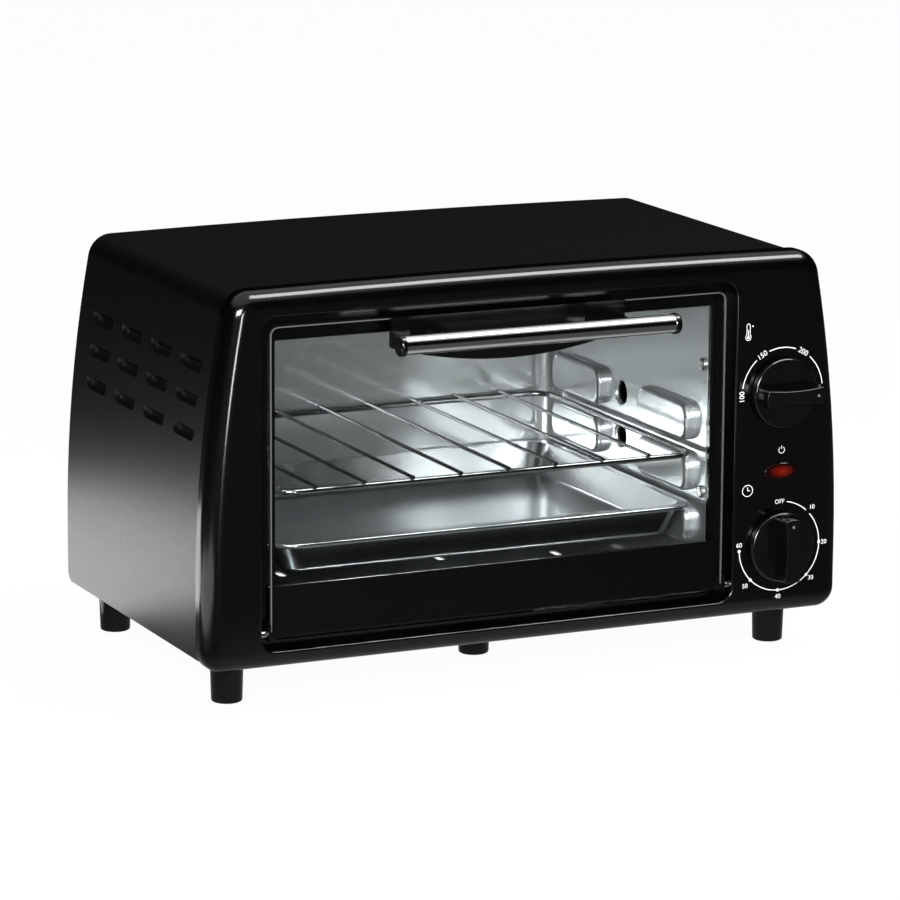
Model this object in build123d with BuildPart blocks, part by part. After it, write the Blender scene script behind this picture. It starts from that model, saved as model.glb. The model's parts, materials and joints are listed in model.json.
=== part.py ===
from build123d import *
import os
from math import asin, cos, hypot, sin

# A countertop toaster oven. All sizes are in millimetres. X runs to the right as seen from the front,
# Y runs to the back and Z is up. The origin lies on the table, under the middle of the oven.
# Sizes called "back" are measured from the front face of the fascia towards the back of the oven.

# Cabinet: a folded cover with leaning sides, a back panel and a base plate
body_width = 359.0
body_depth = 202.0
body_top = 214.5
top_crown = 1.5
side_start = 60.0
side_radius = 780.0
top_corner_radius = 13.0
cover_bottom = 27.5
sheet = 0.8
rear_corner_radius = 4.5
rear_flange_width = 10.0
screw_rounding_share = 0.6

# Louvres pressed inwards in both sides of the cover
louvre_rows = 3
louvre_columns = 4
louvre_length = 28.5
louvre_height = 6.3
louvre_depth = 4.5
louvre_corner_radius = 4.0
louvre_front_margin = 29.0
louvre_rear_margin = 20.5
louvre_pitch_up = 17.25
louvre_drop = 37.0

# Fascia: a moulded front with a recess for the door
fascia_depth = 14.0
fascia_overhang = 1.5
fascia_bottom = 22.6
fascia_wall = 2.5
fascia_edge_radius = 9.0
fascia_corner_radius = 11.0
recess_depth = 9.0
recess_gap = 5.5
recess_corner_radius = 8.0
recess_edge_radius = 1.2

# Door: one pane of glass, hung on two pins at its lower corners
door_left_margin = 34.5
door_right_margin = 68.5
door_bottom_margin = 14.9
door_top_margin = 17.0
glass_thickness = 4.0
glass_setback = 2.0
glass_corner_radius = 4.5
glass_edge_chamfer = 0.5
rail_height = 25.8
rail_inset = 1.0
rail_thickness = 1.2
ear_gap = 0.5
ear_height = 8.8
ear_wall = 1.2
hinge_inset = 3.0
pin_radius = 2.0
pin_clearance = 0.05
pin_overrun = 1.0

# Handle: a steel tube on a moulded bracket at the top edge of the glass
handle_shift = 2.0
handle_standoff = 32.0
handle_drop = 7.3
tube_length = 150.0
tube_shift = 2.0
tube_diameter = 9.8
tube_wall = 0.8
cap_diameter = 11.0
cap_length = 3.3
cap_plug = 8.0
bracket_rise = 0.7
bracket_width = 131.0
bracket_end_height = 15.5
bracket_middle_height = 25.2
bracket_thickness = 3.0
post_spacing = 98.0
post_base_width = 13.0
post_tip_width = 8.0
post_height = 8.6
handle_screw_radius = 2.0
handle_screw_head_radius = 4.0
handle_screw_head_height = 1.8
handle_screw_grip = 14.0
washer_radius = 5.0
washer_thickness = 0.6

# Oven chamber: sheet walls, a bent back and a roof, with the base plate as its floor
mouth_side_margin = 5.0
mouth_top_margin = 8.0
mouth_bottom_margin = 8.5
mouth_corner_radius = 1.0
liner = 0.6
chamber_rear_gap = 5.0
chamber_corner_radius = 10.0
chamber_lap = 16.0
frame_thickness = 1.0
frame_border = 9.0
frame_lap = 10.0
frame_tab_width = 12.0
rib_length = 58.0
rib_height = 21.0
rib_depth = 5.2
rib_corner_radius = 8.0
rib_edge_radius = 2.5
rib_end_gap = 1.0
rib_front_gap = 13.0
rack_slot_height = 6.0
wall_hole_radius = 7.2
wall_hole_shift = 4.7
wall_hole_rise = 16.9
wall_hole_drop = 6.9
rivet_radius = 1.6
rivet_head_radius = 3.4
rivet_head_height = 1.8
rivet_setback = 4.0
rivet_low_share = 0.3
rivet_high_share = 0.775

# Wire rack and baking tray, each resting on a row of ribs
shelf_side_gap = 3.25
shelf_front_gap = 1.5
shelf_rear_gap = 1.5
shelf_corner_radius = 12.0
slide_clearance = 0.3
rack_rest_share = 0.43
rack_frame_diameter = 3.2
rack_wire_diameter = 2.0
rack_wire_count = 8
rack_wire_side_gap = 25.25
rack_wire_shift = -4.0
weld_depth = 0.4
tray_drop = 27.6
tray_height = 17.5
tray_taper = 6.0
tray_wall = 0.8
tray_rim_width = 5.0
tray_rim_height = 2.4
tray_rim_radius = 1.0
tray_corner_radius = 14.0
tray_floor_radius = 3.5

# Heaters: two rods above and two below, held in ceramic ends
heater_radius = 3.5
heater_hole_clearance = 0.4
heater_overrun = 17.0
heater_roof_gap = 8.6
heater_floor_gap = 17.7
heater_front_share = 0.28
heater_rear_share = 0.75
insulator_radius = 6.5
insulator_length = 10.0

# Controls on the right of the fascia
control_margin = 35.2
thermostat_drop = 72.4
timer_rise = 36.9
lamp_share = 0.49
knob_radius = 18.6
knob_skirt_thickness = 3.8
knob_skirt_rounding = 1.4
knob_gap = 0.8
knob_reach = 15.5
grip_half_length = 16.8
grip_end_width = 10.8
grip_waist_width = 8.2
grip_taper = 3.5
grip_corner_radius = 1.6
grip_edge_radius = 0.6
shaft_radius = 3.0
shaft_clearance = 0.05
shaft_panel_clearance = 0.5
shaft_reach = 10.5
shaft_tail = 12.0
shaft_end_gap = 1.0
pointer_radius = 0.75
pointer_depth = 0.6
pointer_offset = 13.2
thermostat_width = 30.0
thermostat_length = 24.0
timer_radius = 17.0
timer_length = 30.0
bell_radius = 15.0
bell_height = 9.0
bell_wall = 1.0
control_screw_radius = 1.5
control_screw_head_radius = 2.8
control_screw_head_height = 1.4
control_screw_length = 9.0
control_screw_offset = 11.0
lamp_length = 20.5
lamp_width = 9.3
lamp_dome = 1.4
lamp_rounding_share = 0.9
lamp_holder_length = 18.0
lamp_holder_margin = 1.5

# Back panel: ventilation slots, screws and the bushing where the mains lead goes in
vent_slot_length = 26.0
vent_slot_width = 4.0
vent_slot_columns = 5
vent_slot_rows = 4
vent_side_margin = 85.0
vent_pitch_up = 14.0
vent_drop = 64.5
back_screw_radius = 1.8
back_screw_head_radius = 3.6
back_screw_head_height = 1.8
back_screw_length = 5.0
back_screw_inset = 5.5
back_screw_rise = 17.5
back_screw_top_margin = 49.5
bushing_margin = 33.5
bushing_rise = 24.5
bushing_radius = 6.5
bushing_flange_radius = 9.0
bushing_flange_thickness = 2.0
bushing_bore_radius = 3.6
bushing_reach = 6.0
terminal_length = 30.0
terminal_width = 16.0
terminal_height = 12.0
terminal_margin = 37.5
terminal_back_share = 0.6
terminal_hole_radius = 2.0
terminal_ways = 3

# Feet under the base plate
foot_top_radius = 8.8
foot_bottom_radius = 8.0
foot_rounding = 1.2
foot_side_margin = 22.9
foot_front_margin = 33.0
foot_rear_margin = 10.0
foot_middle_share = 0.35
foot_screw_radius = 2.0
foot_screw_head_radius = 3.8
foot_screw_head_height = 2.6
foot_screw_recess = 9.0
foot_screw_recess_radius = 4.4
foot_screw_overrun = 4.0
floor_slot_width = 4.5
floor_slot_length = 11.0
floor_slot_inner_share = 0.383
floor_slot_outer_share = 0.844
floor_slot_inner_shift = -7.3
floor_slot_inner_gap = 32.0
floor_slot_outer_gap = 47.3

# Places worked out from the sizes above: the cabinet, the door and the handle
front_y = (handle_standoff + cap_diameter / 2 - body_depth - bushing_reach) / 2
panel_rear = body_depth - sheet
door_centre = (door_left_margin - door_right_margin) / 2
door_width = body_width - door_left_margin - door_right_margin
door_bottom = fascia_bottom + door_bottom_margin
door_top = body_top - door_top_margin
recess_width = door_width + 2 * recess_gap
recess_height = door_top - door_bottom + 2 * recess_gap
recess_middle = (door_top + door_bottom) / 2
recess_floor_back = recess_depth + fascia_wall
glass_rear = glass_setback + glass_thickness
rail_rear = glass_rear + rail_thickness
hinge_back = glass_setback + glass_thickness / 2
hinge_height = door_bottom + hinge_inset
ear_front = hinge_back - pin_radius - ear_wall
ear_bottom = hinge_height - pin_radius - ear_wall
rail_bottom = door_bottom + rail_inset
handle_centre = door_centre + handle_shift
handle_height = door_top - handle_drop
tube_centre = handle_centre + tube_shift
bracket_top = door_top + bracket_rise

# The chamber, its shelves and its heaters
chamber_width = door_width - 2 * mouth_side_margin
chamber_half = chamber_width / 2
chamber_right = door_centre + chamber_half
chamber_front = recess_floor_back + frame_thickness
chamber_back = body_depth - chamber_rear_gap
chamber_depth = chamber_back - chamber_front
chamber_bottom = cover_bottom + sheet
mouth_top = door_top - mouth_top_margin
mouth_bottom = door_bottom + mouth_bottom_margin
mouth_height = mouth_top - mouth_bottom
mouth_middle = (mouth_top + mouth_bottom) / 2
chamber_top = mouth_top + liner
wall_rear = chamber_back - chamber_corner_radius
rack_rest = mouth_bottom + rack_rest_share * mouth_height
tray_rest = rack_rest - tray_drop
rib_tops = (rack_rest + rack_slot_height + rib_height, rack_rest, tray_rest)
rib_front_back = chamber_front + rib_front_gap + rib_length / 2
rib_rear_back = wall_rear - rib_end_gap - rib_length / 2
wall_hole_back = (rib_front_back + rib_rear_back) / 2 + wall_hole_shift
wall_hole_heights = (rack_rest + wall_hole_rise, rack_rest - wall_hole_drop)
rivet_back = chamber_front + rivet_setback
rivet_heights = [mouth_bottom + share * mouth_height for share in (rivet_low_share, rivet_high_share)]
shelf_width = chamber_width - 2 * shelf_side_gap
shelf_front = chamber_front + shelf_front_gap
shelf_depth = chamber_depth - shelf_front_gap - shelf_rear_gap
heater_front_back = chamber_front + heater_front_share * chamber_depth
heater_rear_back = chamber_front + heater_rear_share * chamber_depth
upper_heater_height = chamber_top - heater_roof_gap
lower_heater_height = chamber_bottom + heater_floor_gap
heater_places = (
    ("upper_front_heater", heater_front_back, upper_heater_height),
    ("upper_rear_heater", heater_rear_back, upper_heater_height),
    ("lower_front_heater", heater_front_back, lower_heater_height),
    ("lower_rear_heater", heater_rear_back, lower_heater_height),
)

# The controls, the feet and what is on the back
control_x = body_width / 2 - control_margin
thermostat_height = body_top - thermostat_drop
timer_height = fascia_bottom + timer_rise
lamp_height = timer_height + lamp_share * (thermostat_height - timer_height)
foot_side = body_width / 2 - foot_side_margin
foot_places = (
    ("foot_front_left", -foot_side, foot_front_margin),
    ("foot_front_right", foot_side, foot_front_margin),
    ("foot_rear_left", -foot_side, body_depth - foot_rear_margin),
    ("foot_rear_right", foot_side, body_depth - foot_rear_margin),
    ("foot_middle", 0.0, foot_middle_share * body_depth),
)
floor_slot_places = [
    (door_centre + shift + side * share * chamber_half, chamber_back - gap)
    for share, shift, gap in (
        (floor_slot_inner_share, floor_slot_inner_shift, floor_slot_inner_gap),
        (floor_slot_outer_share, 0, floor_slot_outer_gap),
    )
    for side in (-1, 1)
]
bushing_place = (body_width / 2 - bushing_margin, cover_bottom + bushing_rise)
back_screw_side = body_width / 2 - back_screw_inset
back_screw_top_side = body_width / 2 - back_screw_top_margin
back_screw_low = cover_bottom + back_screw_rise
back_screw_high = body_top - back_screw_inset
back_screw_places = (
    (-back_screw_side, back_screw_low),
    (back_screw_side, back_screw_low),
    (-back_screw_top_side, back_screw_high),
    (back_screw_top_side, back_screw_high),
    (0, back_screw_high),
)


def front_plane(back):
    """A plane that faces the front of the oven, with X to the right and Z up."""
    return Plane(origin=(0, front_y + back, 0), x_dir=(1, 0, 0), z_dir=(0, -1, 0))


def side_plane(x):
    """A plane that faces the right, with its own x running to the back and its own y up."""
    return Plane(origin=(x, 0, 0), x_dir=(0, 1, 0), z_dir=(1, 0, 0))


def door_mirror():
    """The upright plane through the middle of the door and the chamber."""
    return Plane.YZ.offset(door_centre)


def save(builder, name):
    """Label a finished piece and write it to its own file."""
    builder.part.label = name
    export_step(builder.part, "parts/" + name + ".step")


def body_section(grow, bottom, bottom_corner):
    """The cabinet's cross-section, grown outwards by grow and cut off at the height bottom."""
    half = body_width / 2 + grow
    radius = side_radius + grow
    shoulder = body_top + grow
    lean = asin((shoulder - side_start) / radius)
    shoulder_x = half - radius * (1 - cos(lean))
    bend_x = half - radius * (1 - cos(lean / 2))
    bend_z = side_start + radius * sin(lean / 2)
    with BuildSketch() as section:
        with BuildLine():
            Line((-half, side_start), (-half, bottom))
            Line((-half, bottom), (half, bottom))
            Line((half, bottom), (half, side_start))
            ThreePointArc((half, side_start), (bend_x, bend_z), (shoulder_x, shoulder))
            ThreePointArc((shoulder_x, shoulder), (0, shoulder + top_crown), (-shoulder_x, shoulder))
            ThreePointArc((-shoulder_x, shoulder), (-bend_x, bend_z), (-half, side_start))
        make_face()
        fillet(section.vertices().group_by(Axis.Y)[-1], top_corner_radius + grow)
        if bottom_corner > 0:
            fillet(section.vertices().group_by(Axis.Y)[0], bottom_corner)
    return section.sketch


def louvre_wedge(metal, crest):
    """A wedge pressed in below a straight edge, with metal added round it and its outer side at crest."""
    grow = 1 + metal * hypot(louvre_depth, louvre_height) / (louvre_depth * louvre_height)
    depth = louvre_depth * grow
    height = louvre_height * grow
    foot = height * (1 + crest / depth)
    with BuildPart() as wedge:
        with BuildSketch(Plane.YZ):
            with BuildLine():
                Polyline((-metal / 2, crest), (-metal / 2, -depth), (-foot, crest), close=True)
            make_face()
        extrude(amount=louvre_length, both=True)
        with BuildSketch(Plane.XY.offset(crest)) as outline:
            Rectangle(louvre_length + 2 * metal, height, align=(Align.CENTER, Align.MAX))
            fillet(outline.vertices().group_by(Axis.Y)[0], louvre_corner_radius + metal)
        extrude(amount=-(depth + crest), mode=Mode.INTERSECT)
    return wedge.part


def louvre_places():
    """Planes at the top edge of each louvre, on the outside of both leaning sides."""
    first = louvre_front_margin + louvre_length / 2
    last = body_depth - louvre_rear_margin - louvre_length / 2
    pitch_back = (last - first) / (louvre_columns - 1)
    places = []
    for row in range(louvre_rows):
        height = body_top - louvre_drop - row * louvre_pitch_up
        lean = asin((height - side_start) / side_radius)
        x = body_width / 2 - side_radius * (1 - cos(lean))
        for column in range(louvre_columns):
            y = front_y + first + column * pitch_back
            places.append(Plane((x, y, height), x_dir=(0, 1, 0), z_dir=(cos(lean), 0, sin(lean))))
            places.append(Plane((-x, y, height), x_dir=(0, -1, 0), z_dir=(-cos(lean), 0, sin(lean))))
    return places


def pan_screw(shank_radius, shank_length, head_radius, head_height):
    """A screw with its head's seat on the origin, its shank along +Z and its head along -Z."""
    with BuildPart() as screw:
        Cylinder(shank_radius, shank_length, align=(Align.CENTER, Align.CENTER, Align.MIN))
        Cylinder(head_radius, head_height, align=(Align.CENTER, Align.CENTER, Align.MAX))
        fillet(screw.edges().group_by(Axis.Z)[0], head_height * screw_rounding_share)
    return screw.part


def flush_screw():
    """A countersunk screw with the top of its head on the origin and its shank along +Z."""
    with BuildPart() as screw:
        with BuildSketch(Plane.XZ):
            with BuildLine():
                Polyline(
                    (0, 0),
                    (control_screw_head_radius, 0),
                    (control_screw_radius, control_screw_head_height),
                    (control_screw_radius, control_screw_length),
                    (0, control_screw_length),
                    close=True,
                )
            make_face()
        revolve(axis=Axis.Z)
    return screw.part


def inward_planes(backs_and_places):
    """Planes facing the back of the oven, one for each (x, back, height)."""
    return [
        Plane((x, front_y + back, height), x_dir=(-1, 0, 0), z_dir=(0, 1, 0))
        for x, back, height in backs_and_places
    ]


os.makedirs("parts", exist_ok=True)

# Folded cover: top and both sides, with louvres
cover_outside = body_section(0, cover_bottom, 0)
cover_inside = body_section(-sheet, cover_bottom - sheet, 0)
louvre_metal = louvre_wedge(sheet, -sheet / 2)
louvre_hollow = louvre_wedge(0, sheet)
flange_bottom = cover_bottom + 2 * rear_corner_radius
flange_outside = body_section(-sheet / 2, flange_bottom, 0)
flange_inside = body_section(-rear_flange_width, flange_bottom - rear_flange_width, 0)
with BuildPart() as cabinet_cover:
    with BuildSketch(front_plane(fascia_depth)):
        add(cover_outside)
        add(cover_inside, mode=Mode.SUBTRACT)
    extrude(amount=-(panel_rear - fascia_depth))
    rear_bottom_edges = cabinet_cover.edges().filter_by(Axis.X).group_by(Axis.Z)[0].group_by(Axis.Y)[-1]
    fillet(rear_bottom_edges, rear_corner_radius)
    with BuildSketch(front_plane(panel_rear)):
        add(flange_outside)
        add(flange_inside, mode=Mode.SUBTRACT)
        with Locations(*back_screw_places):
            Circle(back_screw_radius, mode=Mode.SUBTRACT)
    extrude(amount=sheet)
    with Locations(*louvre_places()):
        add(louvre_metal)
    with Locations(*louvre_places()):
        add(louvre_hollow, mode=Mode.SUBTRACT)
save(cabinet_cover, "cabinet_cover")

# Back panel with ventilation slots, screw holes and the hole for the lead's bushing
panel_outline = body_section(0, cover_bottom, rear_corner_radius)
vent_pitch_across = (body_width - 2 * vent_side_margin) / vent_slot_columns
with BuildPart() as back_panel:
    with BuildSketch(front_plane(panel_rear)):
        add(panel_outline)
        with Locations((0, body_top - vent_drop)):
            with GridLocations(vent_pitch_across, vent_pitch_up, vent_slot_columns, vent_slot_rows):
                SlotOverall(vent_slot_length, vent_slot_width, mode=Mode.SUBTRACT)
        with Locations(bushing_place):
            Circle(bushing_radius, mode=Mode.SUBTRACT)
        with Locations(*back_screw_places):
            Circle(back_screw_radius, mode=Mode.SUBTRACT)
    extrude(amount=-sheet)
save(back_panel, "back_panel")

# Screws of the back panel, one node
back_screw = pan_screw(back_screw_radius, back_screw_length, back_screw_head_radius, back_screw_head_height)
with BuildPart() as back_screws:
    for screw_x, screw_z in back_screw_places:
        with Locations(Plane((screw_x, front_y + body_depth, screw_z), x_dir=(1, 0, 0), z_dir=(0, -1, 0))):
            add(back_screw)
save(back_screws, "back_screws")

# Base plate, which is also the floor of the chamber
with BuildPart() as base_plate:
    with BuildSketch(Plane.XY.offset(cover_bottom)):
        with Locations((0, front_y + (fascia_depth + panel_rear) / 2)):
            Rectangle(body_width - 2 * sheet, panel_rear - fascia_depth)
        for foot_name, foot_x, foot_back in foot_places:
            with Locations((foot_x, front_y + foot_back)):
                Circle(foot_screw_radius, mode=Mode.SUBTRACT)
        for slot_x, slot_back in floor_slot_places:
            with Locations((slot_x, front_y + slot_back)):
                SlotOverall(floor_slot_length, floor_slot_width, rotation=90, mode=Mode.SUBTRACT)
    extrude(amount=sheet)
save(base_plate, "base_plate")

# Feet, each held by a screw in a deep recess
for foot_name, foot_x, foot_back in foot_places:
    with BuildPart() as foot:
        with BuildSketch(Plane.XZ):
            with BuildLine():
                Polyline(
                    (foot_screw_radius, cover_bottom),
                    (foot_top_radius, cover_bottom),
                    (foot_bottom_radius, 0),
                    (foot_screw_recess_radius, 0),
                    (foot_screw_recess_radius, foot_screw_recess),
                    (foot_screw_radius, foot_screw_recess),
                    close=True,
                )
            make_face()
        revolve(axis=Axis.Z)
        fillet(foot.edges().group_by(Axis.Z)[0].sort_by(SortBy.RADIUS)[-1], foot_rounding)
    with BuildPart() as placed_foot:
        with Locations((foot_x, front_y + foot_back, 0)):
            add(foot.part)
    save(placed_foot, foot_name)

# Foot screws, one node
foot_screw_length = cover_bottom + foot_screw_overrun - foot_screw_recess
foot_screw = pan_screw(foot_screw_radius, foot_screw_length, foot_screw_head_radius, foot_screw_head_height)
with BuildPart() as foot_screws:
    for foot_name, foot_x, foot_back in foot_places:
        with Locations((foot_x, front_y + foot_back, foot_screw_recess)):
            add(foot_screw)
save(foot_screws, "foot_screws")

# Fascia: a rounded shell with a recess for the door and holes for the controls
fascia_outside = body_section(fascia_overhang, fascia_bottom, fascia_corner_radius)
fascia_inside = body_section(
    fascia_overhang - fascia_wall, fascia_bottom + fascia_wall, fascia_corner_radius - fascia_wall
)
with BuildPart() as fascia_hollow:
    with BuildSketch(front_plane(fascia_wall)):
        add(fascia_inside)
    extrude(amount=-fascia_depth)
    fillet(fascia_hollow.faces().sort_by(Axis.Y)[0].edges(), fascia_edge_radius - fascia_wall)

control_screw = flush_screw()
control_screw_planes = inward_planes(
    (control_x + side * control_screw_offset, 0, height)
    for height in (thermostat_height, timer_height)
    for side in (-1, 1)
)
with BuildPart() as front_fascia:
    with BuildSketch(front_plane(0)):
        add(fascia_outside)
    extrude(amount=-fascia_depth)
    fillet(front_fascia.faces().sort_by(Axis.Y)[0].edges(), fascia_edge_radius)
    add(fascia_hollow.part, mode=Mode.SUBTRACT)
    with BuildSketch(front_plane(fascia_wall / 2)):
        with Locations((door_centre, recess_middle)):
            RectangleRounded(
                recess_width + 2 * fascia_wall,
                recess_height + 2 * fascia_wall,
                recess_corner_radius + fascia_wall,
            )
    extrude(amount=fascia_wall / 2 - recess_floor_back)
    with BuildSketch(front_plane(-fascia_wall)):
        with Locations((door_centre, recess_middle)):
            RectangleRounded(recess_width, recess_height, recess_corner_radius)
    extrude(amount=-(recess_depth + fascia_wall), mode=Mode.SUBTRACT)
    fillet(front_fascia.faces().sort_by(Axis.Y)[0].inner_wires()[0].edges(), recess_edge_radius)
    with BuildSketch(front_plane(recess_depth - fascia_wall)):
        with Locations((door_centre, mouth_middle)):
            RectangleRounded(chamber_width, mouth_height, mouth_corner_radius)
    extrude(amount=-3 * fascia_wall, mode=Mode.SUBTRACT)
    with BuildSketch(front_plane(-fascia_wall)):
        with Locations((control_x, thermostat_height), (control_x, timer_height)):
            Circle(shaft_radius + shaft_panel_clearance)
        with Locations((control_x, lamp_height)):
            Ellipse(lamp_length / 2, lamp_width / 2)
    extrude(amount=-3 * fascia_wall, mode=Mode.SUBTRACT)
    with BuildSketch(side_plane(door_centre - recess_width / 2 - 2 * fascia_wall)):
        with Locations((front_y + hinge_back, hinge_height)):
            Circle(pin_radius + pin_clearance)
    extrude(amount=recess_width + 4 * fascia_wall, mode=Mode.SUBTRACT)
    with Locations(*control_screw_planes):
        add(control_screw, mode=Mode.SUBTRACT)
save(front_fascia, "front_fascia")

# Screws that hold the thermostat and the timer, under the knobs
with BuildPart() as control_screws:
    with Locations(*control_screw_planes):
        add(control_screw)
save(control_screws, "control_screws")

# Steel frame behind the recess, with a lip beside each chamber wall and a tab for each hinge pin
frame_width = recess_width + 2 * frame_border
frame_top = recess_middle + recess_height / 2
lip_middle = chamber_half + liner + frame_thickness / 2
tab_inside = recess_width / 2 + fascia_wall
tab_length = recess_floor_back - fascia_wall
with BuildPart() as front_frame:
    with BuildSketch(front_plane(recess_floor_back)):
        with Locations((door_centre, (frame_top + chamber_bottom) / 2)):
            Rectangle(frame_width, frame_top - chamber_bottom)
        with Locations((door_centre, mouth_middle)):
            RectangleRounded(chamber_width, mouth_height, mouth_corner_radius, mode=Mode.SUBTRACT)
    extrude(amount=-frame_thickness)
    with BuildSketch(front_plane(chamber_front)):
        for side in (-1, 1):
            with Locations((door_centre + side * lip_middle, (rivet_heights[0] + rivet_heights[1]) / 2)):
                Rectangle(frame_thickness, rivet_heights[1] - rivet_heights[0] + 4 * rivet_head_radius)
    extrude(amount=-frame_lap)
    with BuildSketch(front_plane(fascia_wall)):
        for side in (-1, 1):
            with Locations((door_centre + side * (tab_inside + frame_thickness / 2), hinge_height)):
                Rectangle(frame_thickness, frame_tab_width)
    extrude(amount=-tab_length)
    with BuildSketch(side_plane(door_centre - frame_width / 2)):
        with Locations((front_y + hinge_back, hinge_height)):
            Circle(pin_radius + pin_clearance)
    extrude(amount=frame_width, mode=Mode.SUBTRACT)
    with BuildSketch(side_plane(door_centre - frame_width / 2)):
        for rivet_z in rivet_heights:
            with Locations((front_y + rivet_back, rivet_z)):
                Circle(rivet_radius)
    extrude(amount=frame_width, mode=Mode.SUBTRACT)
save(front_frame, "front_frame")

# Right chamber wall with three rows of pressed ribs, and its mirror image on the left
wall_length = wall_rear - chamber_front
wall_middle = front_y + (wall_rear + chamber_front) / 2
rib_places = [
    (front_y + rib_back, rib_top - rib_height / 2)
    for rib_top in rib_tops
    for rib_back in (rib_front_back, rib_rear_back)
]
with BuildPart() as cavity_right_wall:
    with BuildSketch(side_plane(chamber_right)):
        with Locations((wall_middle, (chamber_bottom + chamber_top) / 2)):
            Rectangle(wall_length, chamber_top - chamber_bottom)
    extrude(amount=liner)
    with BuildSketch(side_plane(chamber_right)):
        with Locations(*rib_places):
            RectangleRounded(rib_length, rib_height, rib_corner_radius)
    extrude(amount=-rib_depth)
    fillet(cavity_right_wall.faces().group_by(Axis.X)[0].edges(), rib_edge_radius)
    with BuildSketch(side_plane(chamber_right + liner)):
        with Locations(*rib_places):
            RectangleRounded(rib_length - 2 * rib_edge_radius, rib_height - 2 * rib_edge_radius,
                             rib_corner_radius - rib_edge_radius)
    extrude(amount=-rib_depth, mode=Mode.SUBTRACT)
    with BuildSketch(side_plane(chamber_right - rib_depth)):
        for hole_height in wall_hole_heights:
            with Locations((front_y + wall_hole_back, hole_height)):
                Circle(wall_hole_radius)
        for heater_name, heater_back, heater_height in heater_places:
            with Locations((front_y + heater_back, heater_height)):
                Circle(heater_radius + heater_hole_clearance)
        for rivet_z in rivet_heights:
            with Locations((front_y + rivet_back, rivet_z)):
                Circle(rivet_radius)
    extrude(amount=rib_depth + 2 * liner, mode=Mode.SUBTRACT)
save(cavity_right_wall, "cavity_right_wall")

with BuildPart() as cavity_left_wall:
    mirror(cavity_right_wall.part, about=door_mirror())
save(cavity_left_wall, "cavity_left_wall")

# Rivets through the walls into the lips of the frame, with their heads inside the chamber
rivet = pan_screw(rivet_radius, liner + 2 * frame_thickness, rivet_head_radius, rivet_head_height)
with BuildPart() as wall_rivets:
    for rivet_z in rivet_heights:
        with Locations(side_plane(chamber_right) * Location((front_y + rivet_back, rivet_z, 0))):
            add(rivet)
    mirror(wall_rivets.part, about=door_mirror())
save(wall_rivets, "wall_rivets")

# Back of the chamber, bent forwards round both corners and lapped outside the walls
bend_half = chamber_half + liner
bend_front = wall_rear - chamber_lap
bend_depth = chamber_back - bend_front
with BuildPart() as cavity_back_wall:
    with BuildSketch(Plane.XY.offset(chamber_bottom)):
        with BuildSketch(mode=Mode.PRIVATE) as bend_outside:
            Rectangle(2 * (bend_half + liner), bend_depth + liner, align=(Align.CENTER, Align.MIN))
            fillet(bend_outside.vertices().group_by(Axis.Y)[-1], chamber_corner_radius + liner)
        with BuildSketch(mode=Mode.PRIVATE) as bend_inside:
            Rectangle(2 * bend_half, bend_depth, align=(Align.CENTER, Align.MIN))
            fillet(bend_inside.vertices().group_by(Axis.Y)[-1], chamber_corner_radius)
        with Locations((door_centre, front_y + bend_front)):
            add(bend_outside.sketch)
            add(bend_inside.sketch, mode=Mode.SUBTRACT)
    extrude(amount=chamber_top - chamber_bottom)
save(cavity_back_wall, "cavity_back_wall")

# Roof of the chamber, lying on the walls
with BuildPart() as cavity_top:
    with BuildSketch(Plane.XY.offset(chamber_top)):
        with Locations((door_centre, front_y + (chamber_front + chamber_back) / 2)):
            Rectangle(chamber_width + 4 * liner, chamber_back - chamber_front)
    extrude(amount=liner)
save(cavity_top, "cavity_top")

# Heater rods across the chamber
heater_length = chamber_width + 2 * heater_overrun
for heater_name, heater_back, heater_height in heater_places:
    with BuildPart() as heater:
        with BuildSketch(side_plane(door_centre)):
            with Locations((front_y + heater_back, heater_height)):
                Circle(heater_radius)
        extrude(amount=heater_length / 2, both=True)
    save(heater, heater_name)

# Ceramic ends round the rods, seated on the outside of the walls
insulator_seat = chamber_half + liner
with BuildPart() as right_insulators:
    with BuildSketch(side_plane(door_centre + insulator_seat)):
        for heater_name, heater_back, heater_height in heater_places:
            with Locations((front_y + heater_back, heater_height)):
                Circle(insulator_radius)
                Circle(heater_radius, mode=Mode.SUBTRACT)
    extrude(amount=insulator_length)
save(right_insulators, "heater_insulators_right")

with BuildPart() as left_insulators:
    mirror(right_insulators.part, about=door_mirror())
save(left_insulators, "heater_insulators_left")

# Glass pane of the door, with two holes for the handle screws
post_places = [(handle_centre + side * post_spacing / 2, handle_height) for side in (-1, 1)]
with BuildPart() as door_glass:
    with BuildSketch(front_plane(glass_setback)):
        with Locations((door_centre, recess_middle)):
            RectangleRounded(door_width, door_top - door_bottom, glass_corner_radius)
    extrude(amount=-glass_thickness)
    chamfer(door_glass.faces().sort_by(Axis.Y)[0].edges(), glass_edge_chamfer)
    chamfer(door_glass.faces().sort_by(Axis.Y)[-1].edges(), glass_edge_chamfer)
    with BuildSketch(front_plane(0)):
        with Locations(*post_places):
            Circle(handle_screw_radius)
    extrude(amount=-2 * glass_rear, mode=Mode.SUBTRACT)
save(door_glass, "door_glass")

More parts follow.
